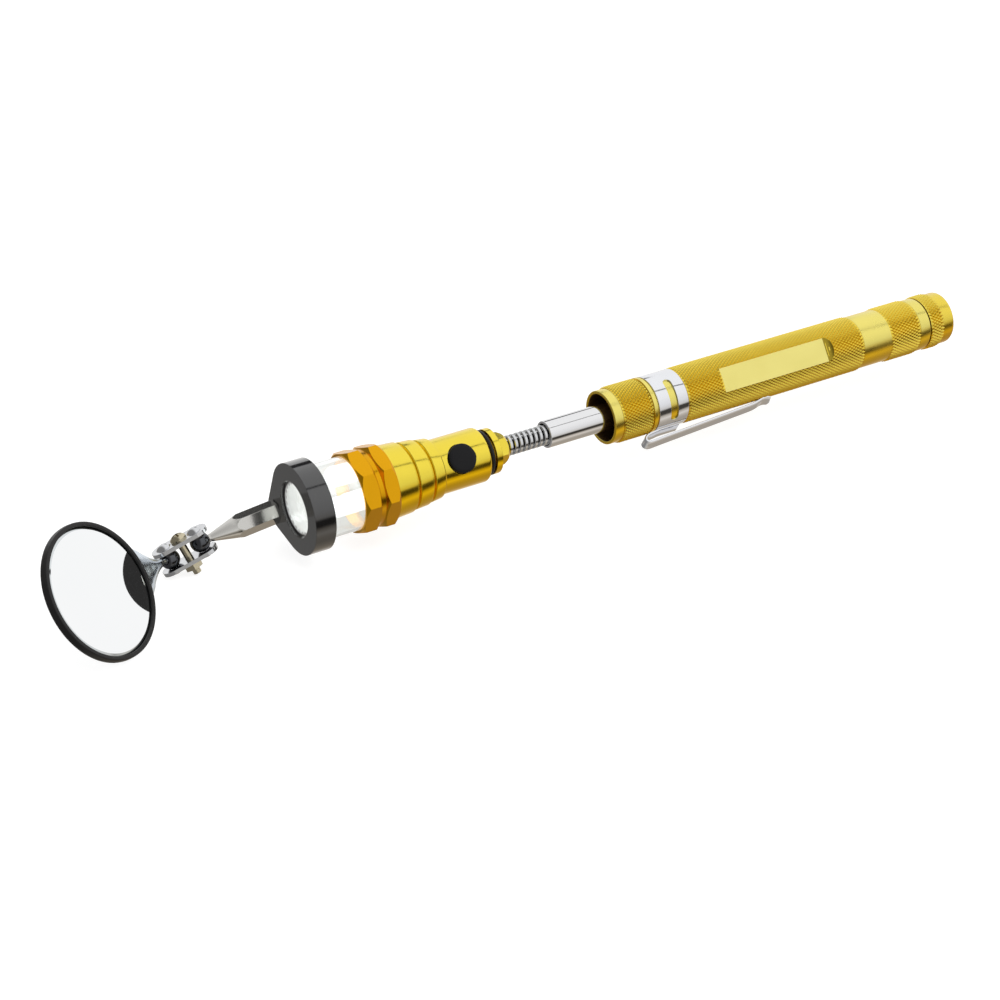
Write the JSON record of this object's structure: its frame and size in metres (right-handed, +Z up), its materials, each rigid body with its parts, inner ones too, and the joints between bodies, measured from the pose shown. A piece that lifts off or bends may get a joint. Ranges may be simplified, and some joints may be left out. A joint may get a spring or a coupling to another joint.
{
  "type": "telescoping inspection mirror",
  "caption": "Telescoping lighted inspection mirror: knurled pen handle with clip, chrome tubes, flexible neck, torch head and a round mirror on a double-ball swivel.",
  "frame": {"origin": "centre of the flat butt face of the end cap", "axes": "+X along the tool out of the butt, so the mirror end is at -X; +Z up; the label, button and clip side is turned 35 degrees up from -Y"},
  "size_m": [0.2674, 0.0368, 0.0288],
  "materials": {
    "gold_anodised": "bright yellow-gold anodised, turned",
    "gold_knurled": "lemon-gold anodised with a diamond knurl",
    "orange_gold": "deeper orange-gold anodised",
    "chrome": "polished chrome",
    "zinc": "bright zinc",
    "pale_brass": "pale nickel-brass",
    "steel": "spring steel",
    "dark_steel": "blackened and polished",
    "brass": "plain brass",
    "rubber": "matte black",
    "black_plastic": "gloss black",
    "clear_plastic": "clear moulded plastic",
    "lamp": "clear lamp, lit white",
    "board": "white lamp board",
    "insulator": "thin insulating plastic",
    "mirror_glass": "silvered glass with a bevelled edge"
  },
  "bodies": {
    "handle": {"handle_tube": "gold_knurled", "end_cap": "orange_gold", "pocket_clip": "chrome", "rod_anchor": "brass", "anchor_screw": "zinc", "tube_6": "chrome", "friction_sleeve_6": "brass"},
    "section_5": {"tube_5": "chrome", "friction_sleeve_5": "brass"},
    "section_4": {"tube_4": "chrome", "friction_sleeve_4": "brass"},
    "section_3": {"tube_3": "chrome", "friction_sleeve_3": "brass"},
    "section_2": {"tube_2": "chrome"},
    "turning_sleeve": {"friction_sleeve_2": "brass"},
    "section_1": {"tube_1": "chrome"},
    "neck": {"neck_ferrule": "steel", "neck_spring": "steel", "neck_core": "dark_steel"},
    "torch": {"tail_plug": "gold_anodised", "tail_o_ring": "rubber", "torch_body": "gold_anodised", "switch_block": "insulator", "battery_cells": "steel", "battery_sleeve": "insulator", "contact_spring": "steel", "led_board": "board", "leds": "lamp", "lens_barrel": "clear_plastic", "bezel": "orange_gold"},
    "button": {"button_cap": "rubber", "switch_plunger": "insulator"},
    "grip_ring": {"collar_grip_ring": "rubber"},
    "collar": {"collar": "black_plastic", "hex_arm": "chrome"},
    "arm_ball": {"arm_ball": "dark_steel"},
    "clamp": {"clamp_plate_upper": "zinc", "clamp_plate_lower": "zinc", "clamp_screw": "pale_brass", "clamp_nut": "pale_brass"},
    "mirror_ball": {"mirror_ball": "dark_steel"},
    "mirror": {"mirror_back": "chrome", "mirror_glass": "mirror_glass", "mirror_rim": "rubber"}
  },
  "joints": [
    {"name": "draw_5", "type": "slide", "parent": "handle", "child": "section_5", "axis": [-1, 0, 0], "range_m": [0, 0.0453]},
    {"name": "draw_4", "type": "slide", "parent": "section_5", "child": "section_4", "axis": [-1, 0, 0], "range_m": [0, 0.0454]},
    {"name": "draw_3", "type": "slide", "parent": "section_4", "child": "section_3", "axis": [-1, 0, 0], "range_m": [0, 0.0455]},
    {"name": "draw_2", "type": "slide", "parent": "section_3", "child": "section_2", "axis": [-1, 0, 0], "range_m": [0, 0.0456]},
    {"name": "head_turn", "type": "hinge", "parent": "section_2", "child": "turning_sleeve", "pos_m": [-0.0703, 0, 0], "axis": [-1, 0, 0], "continuous": true},
    {"name": "draw_1", "type": "slide", "parent": "turning_sleeve", "child": "section_1", "axis": [-1, 0, 0], "range_m": [-0.0243, 0.0214]},
    {"name": "neck_draw", "type": "slide", "parent": "section_1", "child": "neck", "axis": [-1, 0, 0], "range_m": [-0.0119, 0.0132]},
    {"name": "neck_bend", "type": "hinge", "parent": "neck", "child": "torch", "pos_m": [-0.1339, 0, 0], "axis": [0, 0.8192, -0.5736], "range_deg": [0, 90], "deforming": ["neck_spring", "neck_core"]},
    {"name": "button_press", "type": "slide", "parent": "torch", "child": "button", "axis": [0, 0.8192, -0.5736], "range_m": [0, 0.0008], "stiffness_N_per_m": 400},
    {"name": "collar_pull", "type": "slide", "parent": "torch", "child": "grip_ring", "axis": [-1, 0, 0], "range_m": [0, 0.007]},
    {"name": "collar_turn", "type": "hinge", "parent": "grip_ring", "child": "collar", "pos_m": [-0.1952, 0, 0], "axis": [-1, 0, 0], "continuous": true},
    {"name": "arm_ball_spin", "type": "hinge", "parent": "collar", "child": "arm_ball", "pos_m": [-0.21927, 0.00924, -0.00725], "axis": [-0.996, -0.0431, -0.0777], "continuous": true},
    {"name": "arm_ball_swing", "type": "hinge", "parent": "arm_ball", "child": "clamp", "pos_m": [-0.21927, 0.00924, -0.00725], "axis": [-0.3264, 0.3075, 0.8938], "range_deg": [-70, 70]},
    {"name": "mirror_ball_swing", "type": "hinge", "parent": "clamp", "child": "mirror_ball", "pos_m": [-0.22664, 0.01081, -0.01048], "axis": [-0.3264, 0.3075, 0.8938], "range_deg": [-60, 60]},
    {"name": "mirror_spin", "type": "hinge", "parent": "mirror_ball", "child": "mirror", "pos_m": [-0.22664, 0.01081, -0.01048], "axis": [-0.7589, -0.5791, 0.2979], "continuous": true}
  ]
}
